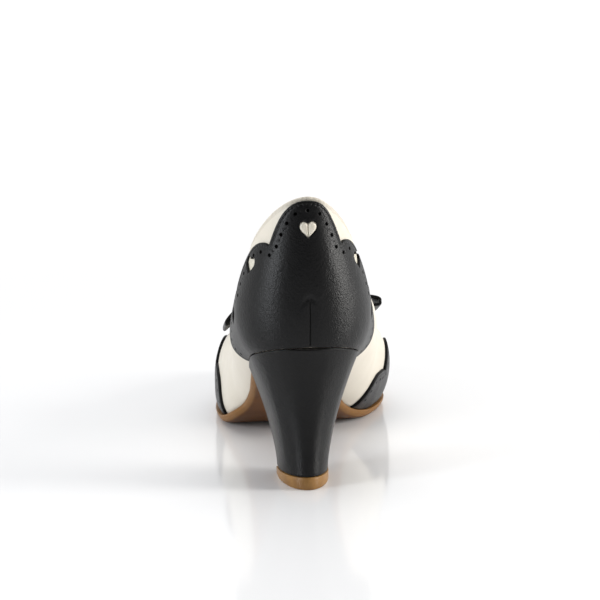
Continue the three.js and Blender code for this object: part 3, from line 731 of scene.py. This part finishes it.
# ---------------------------------------------------------------------------------------------------------------------
# The heel: a block covered with smooth black leather, flared to the seat. Its cover is folded over at the top, which
# leaves a dark line under the counter, and at the bottom by the top lift.
TREAD_WIDTH, TREAD_DEPTH, TREAD_ROUND, LIFT_BACK, LIFT_FRONT = 24 * MM, 30 * MM, 0.85, 6 * MM, 3.6 * MM
HEEL_TURN = np.arccos(1 - 2 * (BREAST_Y - LAST_BACK) / LAST_LENGTH) / (2 * np.pi)
FLARE_BACK, FLARE_SIDE, FLARE_BREAST = 2.4, 1.56, 1.25
arc = np.linspace(-1, 1, 181)[None]


def tread_point(arc, inset):
    """The tread: a long rounded back and short straight sides that end at the breast."""
    share = np.abs(arc)
    angle = np.pi / 2 * np.minimum(share / TREAD_ROUND, 1)
    forward = np.maximum(share - TREAD_ROUND, 0) / (1 - TREAD_ROUND)
    depth = TREAD_ROUND * TREAD_DEPTH
    x = np.sign(arc) * (TREAD_WIDTH / 2 - inset) * np.sin(angle)
    y = depth - TREAD_DEPTH / 2 - (depth - inset) * np.cos(angle) + (TREAD_DEPTH - depth - inset) * forward
    return np.stack([x, y, 0 * arc], -1)


def lift_top(y):
    """Height of the lift's upper face: a straight slope from the back to the breast."""
    return LIFT_BACK + (LIFT_FRONT - LIFT_BACK) * (y + TREAD_DEPTH / 2) / TREAD_DEPTH


def heel_rings(down, inset):
    """From the seat's outline to the tread's: width and depth shrink as powers of the way up."""
    top = beside_feather(HEEL_TURN * arc + 0 * down, UPPER_WALL + GAP + OVERLAY - inset, -UPPER_WALL - GAP)
    low = tread_point(arc + 0 * down, GAP + inset)
    low[..., 2] = lift_top(low[..., 1]) + GAP
    front = np.abs(arc)
    power = FLARE_BACK + (FLARE_SIDE - FLARE_BACK) * np.minimum(2 * front, 1)
    wide = (1 - down) ** power
    deep = (1 - down) ** (power + (FLARE_BREAST - power) * np.maximum(2 * front - 1, 0))
    shares = np.stack([wide, deep, 1 - down + 0 * front], -1)
    return low + (top - low) * shares


heel_down = np.concatenate([[0, 0, 0.0025, 0.007, 0.014], np.linspace(0.022, 0.985, 90), [0.993, 0.998, 1, 1]])[:, None]
heel_inset = np.concatenate([[1.9, 0.9, 0.4, 0.12, 0], np.zeros(90), [0.05, 0.2, 0.5, 1.2]])[:, None] * MM
heel_points = heel_rings(heel_down, heel_inset)
heel = shell("heel", heel_points, "heel", "across", 35)
heel_black = black_leather("heel_leather", False)
heel_black.wear(heel)

# ---------------------------------------------------------------------------------------------------------------------
# The top lift: a tan wear piece nailed under the heel, thicker at the back than at the breast, its edge ground smooth
# and rounded.
lift_ups = np.array([0, 0.02, 0.12, 0.5, 0.9, 0.98, 1])[:, None]
lift_insets = np.array([0.7, 0.2, 0, 0, 0, 0.12, 0.4])[:, None] * MM
lift_rings = tread_point(arc + 0 * lift_ups, lift_insets)
lift_rings[..., 2] = lift_ups * lift_top(lift_rings[..., 1])
top_lift = shell("top_lift", lift_rings, "top_lift", "across", 50)
lift_paint = Paint("lift_tan", (0.28, 0.15, 0.05), 0.38, specular=0.35)
lift_cloud = lift_paint.noise(6 * MM, 3.0)
lift_paint.finish(
    lift_paint.noise(0.8 * MM, 3.0) * (0.05 * MM),
    Base_Color=lift_paint.blend(lift_cloud.step(0.3, 0.7), (0.22, 0.108, 0.03), (0.3, 0.155, 0.044)),
    Roughness=0.32 + lift_cloud * 0.16,
)
lift_paint.wear(top_lift)

# ---------------------------------------------------------------------------------------------------------------------
# The bow: two flat loops of folded black leather ribbon, held by a small knot and sewn to the vamp in front of the
# throat. The inner loop stands out level, and the outer one hangs down the side.
BOW_TURN, BOW_UP, LOOP_LENGTH, LOOP_WIDTH, LOOP_HEIGHT, LOOP_POWER = 0.5, 0.93, 41 * MM, 22 * MM, 7.2 * MM, 0.4
LOOP_START_HEIGHT, LOOP_START_WIDTH = 0.32, 0.42  # by the knot, as shares of the loop's full ones
PINCH, PLEAT = 0.4, 0.25 * MM  # the hanging loop is pressed flatter at its end; the ribbon is pleated by the knot
KNOT_POWER, KNOT_CREASE = 0.6, 0.35 * MM
RIBBON, SAG, DROOP, KNOT_LENGTH, KNOT_WIDTH, KNOT_HEIGHT = np.array([1.8, 1.2, 10, 9, 13, 7]) * MM


def on_vamp(points):
    """From the bow's own axes, across, down the vamp and off it, to the shoe's."""
    normal = last_frame(np.array(BOW_TURN), np.array(BOW_UP))[0]
    spots = last_point(np.array([BOW_TURN, BOW_TURN]), np.array([BOW_UP - 0.02, BOW_UP + 0.02]))
    down = unit(spots[0] - spots[1])
    origin = lifted(np.array(BOW_TURN), np.array(BOW_UP), UPPER_WALL + GAP)
    return origin + points @ np.stack([np.cross(down, normal), down, normal])


def squared_off(wave, power):
    """A wave with its size raised to a power below 1 and its sign kept, which flattens its tops."""
    return np.sign(wave) * np.abs(wave) ** power


def loop_middle(side, angle):
    """Side view of a loop: x goes out and back as a cosine, z is a sine raised to a power below 1, less the droop."""
    out = (1 - np.cos(angle)) / 2
    start = KNOT_LENGTH / 2 + GAP + RIBBON / 2
    opening = LOOP_START_HEIGHT + (1 - LOOP_START_HEIGHT) * np.sin(np.minimum(1.25 * out, 1) * np.pi / 2)
    half = (LOOP_HEIGHT - RIBBON) / 2 * opening
    half = half * (1 - PINCH * out**2 * (side < 0))
    x = start + (LOOP_LENGTH - start - RIBBON / 2) * out
    z = LOOP_HEIGHT / 2 + half * squared_off(np.sin(angle), LOOP_POWER) - (DROOP if side < 0 else SAG) * out**4
    return np.concatenate([x, z], -1)


def ribbon_loop(name, side):
    """A band led out from the knot, round its end and back; it opens and widens on the way out."""
    wave = np.linspace(0, 2 * np.pi, 160, endpoint=False)[:, None]
    angle = wave - 0.32 * np.sin(2 * wave)
    out = (1 - np.cos(angle)) / 2
    middle, along = loop_middle(side, angle), loop_middle(side, angle + 0.02) - loop_middle(side, angle - 0.02)
    across = unit(along[:, ::-1] * (-1, 1))
    widening = LOOP_START_WIDTH + (1 - LOOP_START_WIDTH) * np.sin(np.minimum(1.1 * out, 1) * np.pi / 2)
    turn = np.linspace(0, 2 * np.pi, 48, endpoint=False)[None]
    wide, thick = squared_off(np.cos(turn), 0.25), squared_off(np.sin(turn), 0.35) * RIBBON / 2
    pleat = PLEAT * np.cos(3 * np.pi * wide) * (1 - out)
    x = side * (middle[:, :1] + across[:, :1] * thick)
    points = np.stack([x, wide * LOOP_WIDTH / 2 * widening, middle[:, 1:] + across[:, 1:] * thick + pleat], -1)
    return shell(name, on_vamp(points), name, crease=50)


def knot():
    """A rounded block, its rings and sections superellipses, with two soft creases across."""
    rise, turn = np.linspace(-np.pi / 2, np.pi / 2, 40)[:, None], np.linspace(0, 2 * np.pi, 72, endpoint=False)[None]
    section = squared_off(np.cos(rise), KNOT_POWER)
    x = KNOT_LENGTH / 2 * squared_off(np.cos(turn), KNOT_POWER) * section
    y = KNOT_WIDTH / 2 * squared_off(np.sin(turn), KNOT_POWER) * section
    z = KNOT_HEIGHT / 2 * (1 + squared_off(np.sin(rise), KNOT_POWER) + 0 * turn)
    z = z - KNOT_CREASE * np.cos(3 * np.pi * x / KNOT_LENGTH) ** 8 * (rise > 0)
    return shell("bow_knot", on_vamp(np.stack([x, y, z], -1)), "bow_knot", "across", 60)


bow_black = black_leather("bow_leather", False)
bow_black.wear(ribbon_loop("bow_loop_inner", 1), ribbon_loop("bow_loop_outer", -1), knot())

# ---------------------------------------------------------------------------------------------------------------------
# The studio: a glossy white floor, lit up away from the shoe by painted light, a white room that is darker behind the
# camera, and soft boxes at the sides.
floor_mesh = bpy.data.meshes.new("studio_floor")
FLOOR_SIDE, FLOOR_NEAR, FLOOR_FAR = 6, -6, 8
near_corners = [(-FLOOR_SIDE, FLOOR_NEAR, 0), (FLOOR_SIDE, FLOOR_NEAR, 0)]
far_corners = [(FLOOR_SIDE, FLOOR_FAR, 0), (-FLOOR_SIDE, FLOOR_FAR, 0)]
floor_mesh.from_pydata(near_corners + far_corners, [], [(0, 1, 2, 3)])
floor = bpy.data.objects.new("studio_floor", floor_mesh)
bpy.context.collection.objects.link(floor)
floor_paint = Paint("floor_white", (0.88, 0.88, 0.89), 0.1, specular=0.5)
floor_paint.finish(Roughness=0.09 + floor_paint.noise(0.4) * 0.04)
floor_away = floor_paint.node("ShaderNodeVectorMath", {"operation": "LENGTH"}, {0: floor_paint.place}, "Value")
# Painted light: the floor glows, not at all within 0.3 m of the middle and up to 0.4 beyond 1.6 m, as if lit.
floor_glow = floor_paint.blend(floor_away.step(0.3, 1.6), (0.0, 0.0, 0.0), (0.4, 0.4, 0.4))
floor_paint.finish(Emission_Color=floor_glow, Emission_Strength=1.0)
floor_paint.wear(floor)

CAMERA_YAW, CAMERA_HEIGHT, CAMERA_ROLL = np.radians([6.5, 12.0, -0.4])
CAMERA_DISTANCE, CAMERA_TARGET = 1.0, np.array([0.0033, 0.045, 0.0778])
PICTURE, FOCAL_PIXELS, SENSOR = 600, 2060, 36  # width of the picture in pixels, focal length in them, sensor in mm
back = np.array([-np.sin(CAMERA_YAW), -np.cos(CAMERA_YAW), 0]) * np.cos(CAMERA_HEIGHT)
back[2] = np.sin(CAMERA_HEIGHT)
right = np.array([np.cos(CAMERA_YAW), -np.sin(CAMERA_YAW), 0])
above = np.cross(back, right)
axes = (
    right * np.cos(CAMERA_ROLL) + above * np.sin(CAMERA_ROLL),
    above * np.cos(CAMERA_ROLL) - right * np.sin(CAMERA_ROLL),
    back,
)
camera_data = bpy.data.cameras.new("camera")
camera_data.lens, camera_data.sensor_width = FOCAL_PIXELS / PICTURE * SENSOR, SENSOR
camera = bpy.data.objects.new("camera", camera_data)
bpy.context.collection.objects.link(camera)
place = Matrix(np.stack(axes, 1).tolist()).to_4x4()
place.translation = CAMERA_TARGET + CAMERA_DISTANCE * back
camera.matrix_world = place
bpy.context.scene.camera = camera


def soft_box(name, position, target, size, power, colour):
    """An area light that points at a spot: its back is the way from the spot, and its side is level."""
    data = bpy.data.lights.new(name, "AREA")
    data.shape, data.size, data.size_y, data.energy, data.color = "RECTANGLE", *size, power, colour
    light = bpy.data.objects.new(name, data)
    bpy.context.collection.objects.link(light)
    forward = unit(np.array(target) - np.array(position))
    side = unit(np.cross(forward, [0, 0, 1]))
    turned = Matrix(np.stack([side, np.cross(side, forward), -forward], 1).tolist()).to_4x4()
    turned.translation = position
    light.matrix_world = turned


WARM, COOL, WHITE = (1.0, 0.985, 0.95), (0.93, 0.965, 1.0), (1.0, 1.0, 1.0)
soft_box("right_box", (1.25, -0.25, 0.42), (0, 0.04, 0.07), (0.4, 0.8), 17, WARM)
soft_box("left_box", (-1.25, -0.45, 0.42), (0, 0.04, 0.07), (0.3, 0.8), 12, COOL)
soft_box("top_box", (0.1, 0.1, 1.5), (0, 0.05, 0.05), (1.4, 1.2), 6, WHITE)

world = bpy.context.scene.world or bpy.data.worlds.new("room")
bpy.context.scene.world = world
world.use_nodes = True
room = Nodes(world.node_tree)
direction = room.node("ShaderNodeTexCoord", {}, {}, "Generated")
behind_camera = tuple(unit(np.array([-0.1, -1.0, 0.0])))
toward = room.node("ShaderNodeVectorMath", {"operation": "DOT_PRODUCT"}, {0: direction, 1: behind_camera}, "Value")
background = room.tree.nodes["Background"]
room.feed(background.inputs["Strength"], toward.between(-0.25, 0.6, 1.0, 0.02))
room.feed(background.inputs["Color"], (1, 1, 1, 1))
bpy.context.scene.view_settings.view_transform = "Standard"
